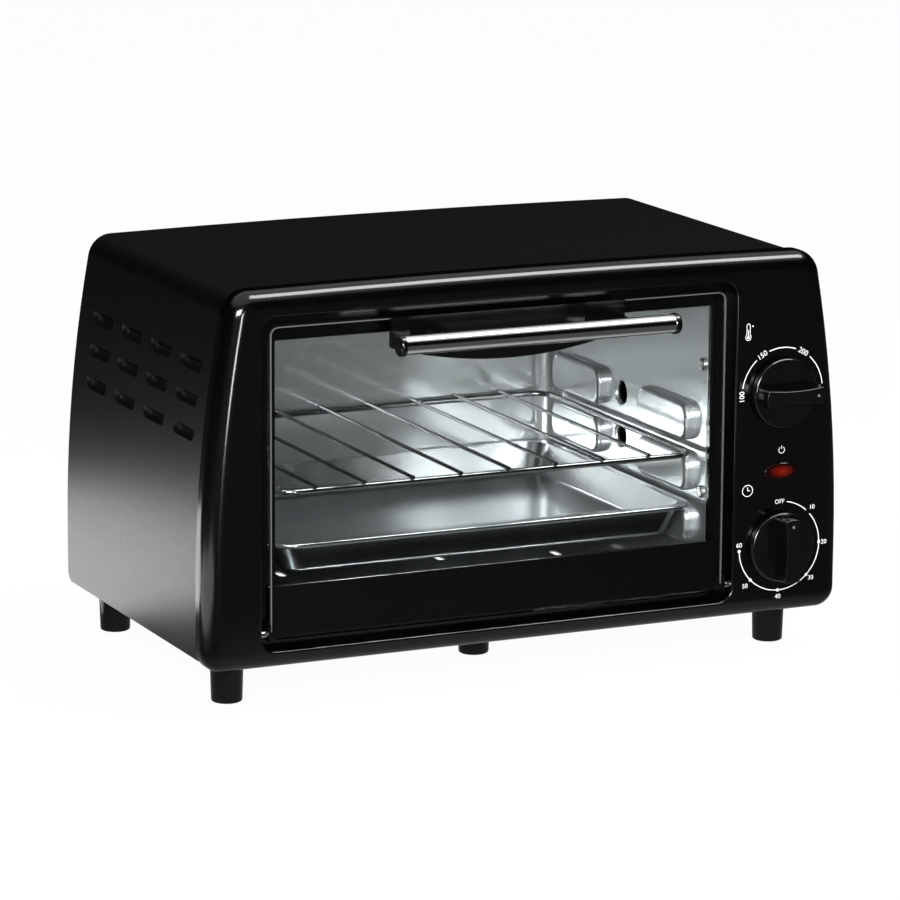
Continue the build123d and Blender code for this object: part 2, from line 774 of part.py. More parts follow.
# Rail behind the lower edge of the glass, with an ear at each end for the hinge pin
ear_inside = door_width / 2 + ear_gap
ear_top = ear_bottom + ear_height
ear_middle = ear_bottom + ear_height / 2
with BuildPart() as door_rail:
    with BuildSketch(front_plane(glass_rear)):
        with Locations((door_centre, rail_bottom + rail_height / 2)):
            Rectangle(door_width - 2 * rail_inset, rail_height)
        with Locations((door_centre, (ear_top + rail_bottom) / 2)):
            Rectangle(2 * (ear_inside + rail_thickness), ear_top - rail_bottom)
    extrude(amount=-rail_thickness)
    for side in (-1, 1):
        with BuildSketch(front_plane(ear_front)):
            with Locations((door_centre + side * (ear_inside + rail_thickness / 2), ear_middle)):
                Rectangle(rail_thickness, ear_height)
        extrude(amount=ear_front - rail_rear)
        with BuildSketch(side_plane(door_centre + side * (ear_inside + rail_thickness / 2))):
            with Locations((front_y + hinge_back, hinge_height)):
                Circle(pin_radius)
        extrude(amount=rail_thickness, both=True, mode=Mode.SUBTRACT)
save(door_rail, "door_rail")

# Hinge pins, fixed in the ears and turning in the fascia and in the frame's tabs
pin_end = tab_inside + frame_thickness + pin_overrun
with BuildPart() as right_pin:
    with BuildSketch(side_plane(door_centre + ear_inside)):
        with Locations((front_y + hinge_back, hinge_height)):
            Circle(pin_radius)
    extrude(amount=pin_end - ear_inside)
save(right_pin, "hinge_pin_right")

with BuildPart() as left_pin:
    mirror(right_pin.part, about=door_mirror())
save(left_pin, "hinge_pin_left")

# Handle bracket: a plate with a smiling lower edge and two posts that carry the tube
bracket_face = glass_setback - bracket_thickness
bracket_left = handle_centre - bracket_width / 2
bracket_right = handle_centre + bracket_width / 2
bracket_end = bracket_top - bracket_end_height
with BuildPart() as handle_bracket:
    with BuildSketch(front_plane(glass_setback)):
        with BuildLine():
            Polyline(
                (bracket_right, bracket_end),
                (bracket_right, bracket_top),
                (bracket_left, bracket_top),
                (bracket_left, bracket_end),
            )
            ThreePointArc(
                (bracket_left, bracket_end),
                (handle_centre, bracket_top - bracket_middle_height),
                (bracket_right, bracket_end),
            )
        make_face()
    extrude(amount=bracket_thickness)
    for post_x, post_z in post_places:
        with BuildSketch(front_plane(bracket_face)):
            with Locations((post_x, post_z)):
                Rectangle(post_base_width, post_height)
        with BuildSketch(front_plane(-handle_standoff)):
            with Locations((post_x, post_z)):
                Rectangle(post_tip_width, post_height)
        loft()
    with BuildSketch(side_plane(tube_centre)):
        with Locations((front_y - handle_standoff, handle_height)):
            Circle(tube_diameter / 2)
    extrude(amount=tube_length / 2, both=True, mode=Mode.SUBTRACT)
    with BuildSketch(front_plane(glass_setback)):
        with Locations(*post_places):
            Circle(handle_screw_radius)
    extrude(amount=handle_screw_grip, mode=Mode.SUBTRACT)
save(handle_bracket, "handle_bracket")

# Polished tube of the handle
with BuildPart() as handle_tube:
    with BuildSketch(side_plane(tube_centre)):
        with Locations((front_y - handle_standoff, handle_height)):
            Circle(tube_diameter / 2)
            Circle(tube_diameter / 2 - tube_wall, mode=Mode.SUBTRACT)
    extrude(amount=tube_length / 2, both=True)
save(handle_tube, "handle_tube")

# End caps of the tube: a rounded disc with a plug
with BuildPart() as right_cap:
    with BuildSketch(side_plane(tube_centre + tube_length / 2)):
        with Locations((front_y - handle_standoff, handle_height)):
            Circle(cap_diameter / 2)
    extrude(amount=cap_length)
    fillet(right_cap.faces().sort_by(Axis.X)[-1].edges(), cap_length / 2)
    with BuildSketch(side_plane(tube_centre + tube_length / 2)):
        with Locations((front_y - handle_standoff, handle_height)):
            Circle(tube_diameter / 2 - tube_wall)
    extrude(amount=-cap_plug)
save(right_cap, "handle_cap_right")

with BuildPart() as left_cap:
    mirror(right_cap.part, about=Plane.YZ.offset(tube_centre))
save(left_cap, "handle_cap_left")

# Screws from inside the glass into the posts, and the washers under their heads
handle_screw = pan_screw(
    handle_screw_radius,
    handle_screw_grip + glass_thickness + washer_thickness,
    handle_screw_head_radius,
    handle_screw_head_height,
)
with BuildPart() as handle_screws:
    for post_x, post_z in post_places:
        seat_y = front_y + glass_rear + washer_thickness
        with Locations(Plane((post_x, seat_y, post_z), x_dir=(1, 0, 0), z_dir=(0, -1, 0))):
            add(handle_screw)
save(handle_screws, "handle_screws")

with BuildPart() as handle_washers:
    with BuildSketch(front_plane(glass_rear)):
        with Locations(*post_places):
            Circle(washer_radius)
            Circle(handle_screw_radius, mode=Mode.SUBTRACT)
    extrude(amount=-washer_thickness)
save(handle_washers, "handle_washers")


def knob_grip():
    """The pinched grip of a knob: long along X, rising from inside the skirt towards +Z."""
    end_half = grip_end_width / 2
    waist_half = grip_waist_width / 2
    grip_tip = knob_radius - knob_skirt_rounding / 2
    with BuildPart() as grip:
        with BuildSketch(Plane.XY.offset(knob_skirt_thickness / 2)) as outline:
            with BuildLine():
                ThreePointArc((grip_half_length, end_half), (0, waist_half), (-grip_half_length, end_half))
                ThreePointArc((-grip_half_length, end_half), (-grip_tip, 0), (-grip_half_length, -end_half))
                ThreePointArc((-grip_half_length, -end_half), (0, -waist_half), (grip_half_length, -end_half))
                ThreePointArc((grip_half_length, -end_half), (grip_tip, 0), (grip_half_length, end_half))
            make_face()
            fillet(outline.vertices(), grip_corner_radius)
        extrude(amount=knob_reach - knob_gap - knob_skirt_thickness / 2, taper=grip_taper)
        fillet(grip.faces().sort_by(Axis.Z)[-1].edges(), grip_edge_radius)
    return grip.part


def knob_body():
    """A knob on the origin: its skirt's back on the XY plane, its grip along X and its face towards +Z."""
    grip_part = knob_grip()
    with BuildPart() as knob:
        Cylinder(knob_radius, knob_skirt_thickness, align=(Align.CENTER, Align.CENTER, Align.MIN))
        fillet(knob.faces().sort_by(Axis.Z)[-1].edges(), knob_skirt_rounding)
        add(grip_part)
        with BuildSketch(Plane.XY):
            Circle(shaft_radius)
        extrude(amount=shaft_reach - knob_gap, mode=Mode.SUBTRACT)
        with BuildSketch(Plane.XY.offset(knob_reach - knob_gap)):
            with Locations((pointer_offset, 0)):
                Circle(pointer_radius)
        extrude(amount=-pointer_depth, mode=Mode.SUBTRACT)
    return knob.part


def knob_pointer():
    """The white dot let into the face of a knob, placed as in knob_body."""
    with BuildPart() as pointer:
        with BuildSketch(Plane.XY.offset(knob_reach - knob_gap)):
            with Locations((pointer_offset, 0)):
                Circle(pointer_radius)
        extrude(amount=-pointer_depth)
    return pointer.part


# Knobs, pointers and shafts: the thermostat's grip points to the right, the timer's points up
knob_part = knob_body()
pointer_part = knob_pointer()
knob_places = (
    ("thermostat", thermostat_height, (1, 0, 0)),
    ("timer", timer_height, (0, 0, 1)),
)
for control_name, knob_height, grip_direction in knob_places:
    knob_plane = Plane((control_x, front_y - knob_gap, knob_height), x_dir=grip_direction, z_dir=(0, -1, 0))
    with BuildPart() as knob:
        with Locations(knob_plane):
            add(knob_part)
    save(knob, control_name + "_knob")
    with BuildPart() as pointer:
        with Locations(knob_plane):
            add(pointer_part)
    save(pointer, control_name + "_pointer")
    with BuildPart() as shaft:
        with BuildSketch(knob_plane.offset(shaft_reach - knob_gap)):
            Circle(shaft_radius)
        extrude(amount=-(shaft_reach + fascia_wall + shaft_tail))
    save(shaft, control_name + "_shaft")

# Thermostat behind the fascia, bored for its shaft
with BuildPart() as thermostat_body:
    with BuildSketch(front_plane(fascia_wall)):
        with Locations((control_x, thermostat_height)):
            RectangleRounded(thermostat_width, thermostat_width, fascia_wall)
            Circle(shaft_radius + shaft_clearance, mode=Mode.SUBTRACT)
    extrude(amount=-thermostat_length)
    with Locations(*control_screw_planes):
        add(control_screw, mode=Mode.SUBTRACT)
save(thermostat_body, "thermostat_body")

# Timer behind the fascia, bored for its shaft, with its bell on the back
with BuildPart() as timer_body:
    with BuildSketch(front_plane(fascia_wall)):
        with Locations((control_x, timer_height)):
            Circle(timer_radius)
    extrude(amount=-timer_length)
    with BuildSketch(front_plane(fascia_wall)):
        with Locations((control_x, timer_height)):
            Circle(shaft_radius + shaft_clearance)
    extrude(amount=-(shaft_tail + shaft_end_gap), mode=Mode.SUBTRACT)
    with Locations(*control_screw_planes):
        add(control_screw, mode=Mode.SUBTRACT)
save(timer_body, "timer_body")

bell_back = fascia_wall + timer_length
with BuildPart() as timer_bell:
    with BuildSketch(front_plane(bell_back)):
        with Locations((control_x, timer_height)):
            Circle(bell_radius)
    extrude(amount=-bell_height)
    fillet(timer_bell.faces().sort_by(Axis.Y)[-1].edges(), bell_height / 2)
    with BuildSketch(front_plane(bell_back)):
        with Locations((control_x, timer_height)):
            Circle(bell_radius - bell_wall)
            Circle(shaft_radius, mode=Mode.SUBTRACT)
    extrude(amount=-(bell_height / 2), mode=Mode.SUBTRACT)
save(timer_bell, "timer_bell")

# Red lens of the power lamp, pushed through the fascia, and the holder clipped behind it
with BuildPart() as lamp_lens:
    with BuildSketch(front_plane(fascia_wall)):
        with Locations((control_x, lamp_height)):
            Ellipse(lamp_length / 2, lamp_width / 2)
    extrude(amount=fascia_wall + lamp_dome)
    fillet(lamp_lens.faces().sort_by(Axis.Y)[0].edges(), lamp_dome * lamp_rounding_share)
save(lamp_lens, "lamp_lens")

with BuildPart() as lamp_holder:
    with BuildSketch(front_plane(fascia_wall)):
        with Locations((control_x, lamp_height)):
            RectangleRounded(
                lamp_length + 2 * lamp_holder_margin, lamp_width + 2 * lamp_holder_margin, lamp_holder_margin
            )
    extrude(amount=-lamp_holder_length)
save(lamp_holder, "lamp_holder")

# Bushing for the mains lead in the back panel, and the terminal block inside on the base plate
with BuildPart() as cord_bushing:
    with BuildSketch(front_plane(panel_rear)):
        with Locations(bushing_place):
            Circle(bushing_radius)
    extrude(amount=-(sheet + bushing_reach))
    with BuildSketch(front_plane(body_depth)):
        with Locations(bushing_place):
            Circle(bushing_flange_radius)
    extrude(amount=-bushing_flange_thickness)
    with BuildSketch(front_plane(panel_rear)):
        with Locations(bushing_place):
            Circle(bushing_flange_radius)
    extrude(amount=bushing_flange_thickness)
    with BuildSketch(front_plane(panel_rear - 2 * bushing_flange_thickness)):
        with Locations(bushing_place):
            Circle(bushing_bore_radius)
    extrude(amount=-4 * bushing_reach, mode=Mode.SUBTRACT)
save(cord_bushing, "cord_bushing")

terminal_x = body_width / 2 - terminal_margin
terminal_y = front_y + terminal_back_share * body_depth
with BuildPart() as terminal_block:
    with BuildSketch(Plane.XY.offset(chamber_bottom)):
        with Locations((terminal_x, terminal_y)):
            Rectangle(terminal_width, terminal_length)
    extrude(amount=terminal_height)
    with BuildSketch(side_plane(terminal_x - terminal_width)):
        with Locations((terminal_y, chamber_bottom + terminal_height / 2)):
            with GridLocations(terminal_length / terminal_ways, 1, terminal_ways, 1):
                Circle(terminal_hole_radius)
    extrude(amount=2 * terminal_width, mode=Mode.SUBTRACT)
save(terminal_block, "terminal_block")

# Wire rack: a bent frame with straight wires welded on top of it
shelf_rear = shelf_front + shelf_depth
rack_inset = rack_frame_diameter / 2
rack_half = shelf_width / 2 - rack_inset
rack_height = rack_rest + slide_clearance + rack_frame_diameter / 2
rack_front_y = front_y + shelf_front + rack_inset
rack_rear_y = front_y + shelf_rear - rack_inset
wire_height = rack_height + (rack_frame_diameter + rack_wire_diameter) / 2 - weld_depth
wire_pitch = (shelf_width - 2 * rack_wire_side_gap) / (rack_wire_count - 1)
with BuildPart() as wire_rack:
    with BuildLine():
        FilletPolyline(
            (door_centre, rack_front_y, rack_height),
            (door_centre + rack_half, rack_front_y, rack_height),
            (door_centre + rack_half, rack_rear_y, rack_height),
            (door_centre, rack_rear_y, rack_height),
            radius=shelf_corner_radius,
        )
    with BuildSketch(side_plane(door_centre)):
        with Locations((rack_front_y, rack_height)):
            Circle(rack_frame_diameter / 2)
    sweep()
    mirror(wire_rack.part, about=door_mirror())
    with BuildSketch(front_plane(shelf_front)):
        with Locations((door_centre + rack_wire_shift, wire_height)):
            with GridLocations(wire_pitch, 1, rack_wire_count, 1):
                Circle(rack_wire_diameter / 2)
    extrude(amount=-shelf_depth)
save(wire_rack, "wire_rack")

# Baking tray: a shallow pan with leaning walls and a thick rounded rim
tray_rim_bottom = tray_rest + slide_clearance
tray_rim_top = tray_rim_bottom + tray_rim_height
tray_floor = tray_rim_top - tray_height
pan_width = shelf_width - 2 * tray_rim_width
pan_depth = shelf_depth - 2 * tray_rim_width
pan_corner = tray_corner_radius - tray_rim_width
tray_middle = (door_centre, front_y + shelf_front + shelf_depth / 2)


def pan_form(inset, bottom, bottom_radius):
    """The solid form of the pan, drawn in by inset, from the height bottom up to the top of the rim."""
    with BuildPart() as form:
        with BuildSketch(Plane.XY.offset(bottom)):
            with Locations(tray_middle):
                RectangleRounded(
                    pan_width - 2 * (tray_taper + inset), pan_depth - 2 * (tray_taper + inset), pan_corner
                )
        with BuildSketch(Plane.XY.offset(tray_rim_top)):
            with Locations(tray_middle):
                RectangleRounded(pan_width - 2 * inset, pan_depth - 2 * inset, pan_corner)
        loft()
        fillet(form.faces().sort_by(Axis.Z)[0].edges(), bottom_radius)
    return form.part


pan_outside = pan_form(0, tray_floor, tray_floor_radius)
pan_inside = pan_form(tray_wall, tray_floor + tray_wall, tray_floor_radius - tray_wall)
with BuildPart() as baking_tray:
    with BuildSketch(Plane.XY.offset(tray_rim_bottom)):
        with Locations(tray_middle):
            RectangleRounded(shelf_width, shelf_depth, tray_corner_radius)
    extrude(amount=tray_rim_height)
    fillet(baking_tray.edges().filter_by(Axis.Z, reverse=True), tray_rim_radius)
    add(pan_outside)
    add(pan_inside, mode=Mode.SUBTRACT)
save(baking_tray, "baking_tray")
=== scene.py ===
import json
from math import cos, hypot, pi, radians, sin

import bmesh
import bpy
from mathutils import Matrix, Vector


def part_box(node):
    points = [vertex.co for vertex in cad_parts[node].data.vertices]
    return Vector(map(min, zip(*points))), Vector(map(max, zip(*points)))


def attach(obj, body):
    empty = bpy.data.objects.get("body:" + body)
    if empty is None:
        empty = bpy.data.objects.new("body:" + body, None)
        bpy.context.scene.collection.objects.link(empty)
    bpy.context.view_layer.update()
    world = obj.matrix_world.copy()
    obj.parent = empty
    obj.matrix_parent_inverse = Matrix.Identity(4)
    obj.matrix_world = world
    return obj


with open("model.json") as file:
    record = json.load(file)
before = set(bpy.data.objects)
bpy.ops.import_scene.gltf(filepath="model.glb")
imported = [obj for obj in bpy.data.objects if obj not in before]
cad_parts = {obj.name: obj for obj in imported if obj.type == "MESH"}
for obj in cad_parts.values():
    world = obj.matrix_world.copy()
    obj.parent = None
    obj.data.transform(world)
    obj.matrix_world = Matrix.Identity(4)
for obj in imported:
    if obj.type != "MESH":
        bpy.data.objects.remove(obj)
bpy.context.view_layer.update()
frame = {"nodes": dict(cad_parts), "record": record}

# A countertop toaster oven on a pale floor. Lengths are in metres unless a name says mm.
# X runs to the right as seen from the front, Y to the back and Z up.
MM = 0.001
fascia_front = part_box("front_fascia")[0][1]
noise_low = 0.3  # nearly all of a noise lies between these two values
noise_high = 0.7
scene = bpy.context.scene
scene.view_settings.view_transform = "Standard"


def node_centre(node):
    """The middle of a node's box."""
    low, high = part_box(node)
    return [(a + b) / 2 for a, b in zip(low, high)]


# Materials: helpers
def principled(name, color, roughness, metallic=0.0, specular=0.5):
    """A new material with its plain values, which a noise may vary; returns it and its shader node."""
    material = bpy.data.materials.new(name)
    material.use_nodes = True
    shader = material.node_tree.nodes["Principled BSDF"]
    shader.inputs["Base Color"].default_value = (*color, 1.0)
    shader.inputs["Roughness"].default_value = roughness
    shader.inputs["Metallic"].default_value = metallic
    shader.inputs["Specular IOR Level"].default_value = specular
    return material, shader


def noise(material, scale, detail=4.0, stretch=(1.0, 1.0, 1.0)):
    """A noise in the object's own coordinates, with scale in cells per metre."""
    nodes = material.node_tree.nodes
    links = material.node_tree.links
    place = nodes.new("ShaderNodeTexCoord")
    mapping = nodes.new("ShaderNodeMapping")
    mapping.inputs["Scale"].default_value = stretch
    texture = nodes.new("ShaderNodeTexNoise")
    texture.inputs["Scale"].default_value = scale
    texture.inputs["Detail"].default_value = detail
    links.new(place.outputs["Object"], mapping.inputs["Vector"])
    links.new(mapping.outputs["Vector"], texture.inputs["Vector"])
    return texture.outputs["Fac"]


def spread(material, source, low, high):
    """Map a noise to the range low to high."""
    node = material.node_tree.nodes.new("ShaderNodeMapRange")
    node.inputs["From Min"].default_value = noise_low
    node.inputs["From Max"].default_value = noise_high
    node.inputs["To Min"].default_value = low
    node.inputs["To Max"].default_value = high
    material.node_tree.links.new(source, node.inputs["Value"])
    return node.outputs["Result"]


def tint(material, shader, source, dark, light):
    """Vary the base colour between two colours with a noise."""
    node = material.node_tree.nodes.new("ShaderNodeMix")
    node.data_type = "RGBA"
    node.inputs["A"].default_value = (*dark, 1.0)
    node.inputs["B"].default_value = (*light, 1.0)
    links = material.node_tree.links
    links.new(spread(material, source, 0.0, 1.0), node.inputs["Factor"])
    links.new(node.outputs["Result"], shader.inputs["Base Color"])


def rough(material, shader, source, low, high):
    """Vary the roughness with a noise."""
    material.node_tree.links.new(spread(material, source, low, high), shader.inputs["Roughness"])


def bump(material, shader, source, height):
    """Raise the surface by up to height, in metres, with a noise."""
    node = material.node_tree.nodes.new("ShaderNodeBump")
    node.inputs["Distance"].default_value = height
    links = material.node_tree.links
    links.new(source, node.inputs["Height"])
    links.new(node.outputs["Normal"], shader.inputs["Normal"])


def link_math(nodes, links, operation, first, second):
    """A math node on two sources; each is a socket or a number."""
    node = nodes.new("ShaderNodeMath")
    node.operation = operation
    for place, source in zip(node.inputs, (first, second)):
        if isinstance(source, float):
            place.default_value = source
        else:
            links.new(source, place)
    return node.outputs["Value"]


# Materials: one function each
def cover_paint():
    """Satin black powder coat with a fine grain."""
    material, shader = principled("cover_paint", (0.0008, 0.0008, 0.0009), 0.34, specular=0.45)
    rough(material, shader, noise(material, 700.0), low=0.3, high=0.36)
    bump(material, shader, noise(material, 1800.0, 2.0), height=0.015 * MM)
    return material


def fascia_plastic():
    """Glossy black moulding with a very slight orange peel."""
    material, shader = principled("fascia_plastic", (0.0008, 0.0008, 0.0009), 0.14, specular=0.5)
    rough(material, shader, noise(material, 300.0), low=0.13, high=0.15)
    bump(material, shader, noise(material, 220.0, 1.0), height=0.002 * MM)
    return material


def knob_plastic():
    """Black moulding of the knobs, the handle bracket and the caps."""
    material, shader = principled("knob_plastic", (0.0015, 0.0015, 0.0015), 0.14, specular=0.6)
    rough(material, shader, noise(material, 500.0), low=0.11, high=0.17)
    bump(material, shader, noise(material, 900.0, 2.0), height=0.005 * MM)
    return material


def foot_plastic():
    """Semi-gloss black moulding of the feet."""
    material, shader = principled("foot_plastic", (0.002, 0.002, 0.002), 0.16, specular=0.3)
    rough(material, shader, noise(material, 600.0), low=0.13, high=0.2)
    bump(material, shader, noise(material, 700.0, 1.0), height=0.003 * MM)
    return material


def rail_paint():
    """Black paint of the strip behind the lower edge of the glass."""
    material, shader = principled("rail_paint", (0.001, 0.001, 0.001), 0.45, specular=0.1)
    rough(material, shader, noise(material, 500.0), low=0.4, high=0.5)
    return material


def bright_sheet():
    """Aluminised sheet of the chamber: a mirror under a soft sheen, with a faint upright grain."""
    material, shader = principled("bright_sheet", (0.72, 0.735, 0.75), 0.12, metallic=1.0)
    nodes = material.node_tree.nodes
    links = material.node_tree.links
    grain = noise(material, 900.0, 3.0, (1.0, 1.0, 0.04))
    tint(material, shader, noise(material, 18.0, 3.0), (0.68, 0.695, 0.71), (0.76, 0.775, 0.785))
    rough(material, shader, grain, low=0.1, high=0.14)
    sheen = nodes.new("ShaderNodeBsdfPrincipled")
    sheen.inputs["Base Color"].default_value = (0.78, 0.79, 0.8, 1.0)
    sheen.inputs["Metallic"].default_value = 1.0
    links.new(spread(material, grain, 0.48, 0.56), sheen.inputs["Roughness"])
    sheen_share = 0.35
    mix = nodes.new("ShaderNodeMixShader")
    mix.inputs["Fac"].default_value = sheen_share
    links.new(shader.outputs["BSDF"], mix.inputs[1])
    links.new(sheen.outputs["BSDF"], mix.inputs[2])
    links.new(mix.outputs["Shader"], nodes["Material Output"].inputs["Surface"])
    return material


def frame_steel():
    """Plain steel of the hidden frame."""
    material, shader = principled("frame_steel", (0.5, 0.5, 0.5), 0.38, metallic=1.0)
    rough(material, shader, noise(material, 120.0), low=0.32, high=0.48)
    return material


def polished_steel():
    """Polished tube of the handle, with fine lines round it."""
    material, shader = principled("polished_steel", (0.86, 0.86, 0.87), 0.1, metallic=1.0)
    rough(material, shader, noise(material, 60.0, 4.0, (30.0, 1.0, 1.0)), low=0.06, high=0.14)
    return material


def rack_wire():
    """Chromed wire of the rack."""
    material, shader = principled("rack_wire", (0.34, 0.34, 0.345), 0.16, metallic=1.0)
    rough(material, shader, noise(material, 200.0), low=0.12, high=0.2)
    return material


def tray_steel():
    """Grey coated steel of the tray."""
    material, shader = principled("tray_steel", (0.58, 0.59, 0.6), 0.22, metallic=1.0)
    tint(material, shader, noise(material, 35.0, 3.0), (0.56, 0.57, 0.58), (0.61, 0.62, 0.63))
    rough(material, shader, noise(material, 60.0, 1.0), low=0.215, high=0.235)
    return material


def heater_sheath():
    """Oxidised metal sheath of the heaters."""
    material, shader = principled("heater_sheath", (0.2, 0.19, 0.18), 0.5, metallic=0.9)
    tint(material, shader, noise(material, 60.0), (0.13, 0.12, 0.115), (0.27, 0.26, 0.25))
    rough(material, shader, noise(material, 250.0), low=0.4, high=0.6)
    return material


def white_ceramic():
    """White ceramic of the heater ends and the terminal block."""
    material, shader = principled("white_ceramic", (0.78, 0.76, 0.71), 0.45)
    tint(material, shader, noise(material, 300.0), (0.72, 0.7, 0.65), (0.82, 0.8, 0.76))
    return material


def pointer_white():
    """Dulled white filling of the pointer dots."""
    material, shader = principled("pointer_white", (0.12, 0.12, 0.12), 0.5)
    rough(material, shader, noise(material, 900.0), low=0.42, high=0.58)
    return material


def print_ink():
    """White ink of the dials and signs."""
    material, shader = principled("print_ink", (0.75, 0.75, 0.75), 0.5)
    rough(material, shader, noise(material, 900.0), low=0.42, high=0.58)
    return material


def lamp_red():
    """Red lens with a painted glow: its colour runs from bright red in the middle to dark red at the
    edge, though no light shines in it.
    """
    material, shader = principled("lamp_red", (0.3, 0.01, 0.005), 0.1, specular=0.3)
    nodes = material.node_tree.nodes
    links = material.node_tree.links
    glow_noise_share = 0.35
    painted_glow_reach = 0.2
    painted_glow_edge = 0.95
    low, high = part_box("lamp_lens")
    place = nodes.new("ShaderNodeTexCoord")
    centre = nodes.new("ShaderNodeMapping")
    centre.vector_type = "TEXTURE"
    centre.inputs["Location"].default_value = node_centre("lamp_lens")
    centre.inputs["Scale"].default_value = [(b - a) / 2 for a, b in zip(low, high)]
    flat = nodes.new("ShaderNodeVectorMath")
    flat.operation = "MULTIPLY"
    flat.inputs[1].default_value = (1.0, 0.0, 1.0)
    reach = nodes.new("ShaderNodeVectorMath")
    reach.operation = "LENGTH"
    blur = nodes.new("ShaderNodeMath")
    blur.operation = "MULTIPLY_ADD"
    blur.inputs[1].default_value = glow_noise_share
    # Painted glow: the base colour is bright red near the lens's middle and darkens towards its edge, a
    # noise roughening the boundary
    ramp = nodes.new("ShaderNodeValToRGB")
    ramp.color_ramp.elements[0].position = painted_glow_reach
    ramp.color_ramp.elements[0].color = (0.13, 0.005, 0.0016, 1.0)
    ramp.color_ramp.elements[1].position = painted_glow_edge
    ramp.color_ramp.elements[1].color = (0.004, 0.0004, 0.0003, 1.0)
    links.new(place.outputs["Object"], centre.inputs["Vector"])
    links.new(centre.outputs["Vector"], flat.inputs[0])
    links.new(flat.outputs["Vector"], reach.inputs[0])
    links.new(noise(material, 600.0, 1.0), blur.inputs[0])
    links.new(reach.outputs["Value"], blur.inputs[2])
    links.new(blur.outputs["Value"], ramp.inputs["Fac"])
    links.new(ramp.outputs["Color"], shader.inputs["Base Color"])
    bump(material, shader, noise(material, 500.0, 1.0), height=0.05 * MM)
    return material


def inner_plastic():
    """Cream plastic of the thermostat, the timer and the lamp holder."""
    material, shader = principled("inner_plastic", (0.55, 0.51, 0.42), 0.5)
    rough(material, shader, noise(material, 400.0), low=0.42, high=0.58)
    return material


def screw_steel():
    """Zinc plated steel of screws, rivets, pins and shafts."""
    material, shader = principled("screw_steel", (0.5, 0.5, 0.49), 0.2, metallic=1.0)
    rough(material, shader, noise(material, 700.0), low=0.16, high=0.24)
    return material


def bushing_rubber():
    """Black rubber of the lead's bushing."""
    material, shader = principled("bushing_rubber", (0.012, 0.012, 0.012), 0.6, specular=0.3)
    bump(material, shader, noise(material, 1200.0), height=0.03 * MM)
    return material


def door_glass():
    """Clear pane that lets lamp light and bounced light through, so that they reach the chamber."""
    material, shader = principled("door_glass", (0.95, 0.97, 0.965), 0.0, specular=0.5)
    shader.inputs["Transmission Weight"].default_value = 1.0
    shader.inputs["IOR"].default_value = 1.1
    nodes = material.node_tree.nodes
    links = material.node_tree.links
    path = nodes.new("ShaderNodeLightPath")
    clear = nodes.new("ShaderNodeBsdfTransparent")
    clear.inputs["Color"].default_value = (0.93, 0.95, 0.945, 1.0)
    mirrored = link_math(
        nodes, links, "GREATER_THAN", path.outputs["Is Glossy Ray"], path.outputs["Is Transmission Ray"]
    )
    bounced = link_math(nodes, links, "MAXIMUM", mirrored, path.outputs["Is Diffuse Ray"])
    passed = link_math(nodes, links, "MAXIMUM", bounced, path.outputs["Is Shadow Ray"])
    mix = nodes.new("ShaderNodeMixShader")
    links.new(passed, mix.inputs["Fac"])
    links.new(shader.outputs["BSDF"], mix.inputs[1])
    links.new(clear.outputs["BSDF"], mix.inputs[2])
    links.new(mix.outputs["Shader"], nodes["Material Output"].inputs["Surface"])
    return material


slot_materials = {
    "cover_black": cover_paint(),
    "fascia_black": fascia_plastic(),
    "moulded_black": knob_plastic(),
    "foot_black": foot_plastic(),
    "door_glass": door_glass(),
    "rail_black": rail_paint(),
    "bright_sheet": bright_sheet(),
    "frame_steel": frame_steel(),
    "polished_steel": polished_steel(),
    "rack_wire": rack_wire(),
    "tray_steel": tray_steel(),
    "heater_sheath": heater_sheath(),
    "white_ceramic": white_ceramic(),
    "pointer_white": pointer_white(),
    "lamp_red": lamp_red(),
    "inner_plastic": inner_plastic(),
    "screw_steel": screw_steel(),
    "bushing_rubber": bushing_rubber(),
}

# Every CAD node takes the material of its slot in the record
for subpart in frame["record"]["subparts"]:
    node_object = frame["nodes"][subpart["node"]]
    node_object.material_slots[0].material = slot_materials[subpart["material_slot"]]


# Printed marks on the fascia: thin plates of white ink
ink_height = 0.04 * MM
dot_height = 0.06 * MM
dial_radius = 23.9 * MM
line_width = 0.5 * MM
dot_radius = 0.85 * MM
disc_steps = 24
arc_step = 3  # degrees
fewest_arc_steps = 6
capital_share = 0.7  # height of a capital letter in parts of the font's size
letter_resolution = 4
ink = print_ink()
control_x = node_centre("thermostat_knob")[0]
thermostat_z = node_centre("thermostat_knob")[2]
timer_z = node_centre("timer_knob")[2]


def ink_plate(name, outlines, height=ink_height):
    """Closed outlines in X and Z, each raised off the fascia by the height of the ink."""
    mesh = bpy.data.meshes.new(name)
    form = bmesh.new()
    for outline in outlines:
        back = [form.verts.new((x, fascia_front, z)) for x, z in outline]
        front = [form.verts.new((x, fascia_front - height, z)) for x, z in outline]
        count = len(outline)
        form.faces.new(front)
        form.faces.new(list(reversed(back)))
        for i in range(count):
            j = (i + 1) % count
            form.faces.new((front[j], front[i], back[i], back[j]))
    bmesh.ops.recalc_face_normals(form, faces=form.faces)
    form.to_mesh(mesh)
    form.free()
    obj = bpy.data.objects.new(name, mesh)
    scene.collection.objects.link(obj)
    obj.data.materials.append(ink)
    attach(obj, "cabinet")


def arc_outline(x, z, radius, start, end, width):
    """A band along an arc; angles in degrees, counter-clockwise from the right."""
    steps = max(fewest_arc_steps, int(abs(end - start) / arc_step))
    angles = [radians(start + (end - start) * i / steps) for i in range(steps + 1)]
    outside = radius + width / 2
    inside = radius - width / 2
    outer = [(x + outside * cos(a), z + outside * sin(a)) for a in angles]
    inner = [(x + inside * cos(a), z + inside * sin(a)) for a in reversed(angles)]
    return outer + inner


def disc_outline(x, z, radius):
    """A round dot."""
    angles = [2 * pi * i / disc_steps for i in range(disc_steps)]
    return [(x + radius * cos(a), z + radius * sin(a)) for a in angles]


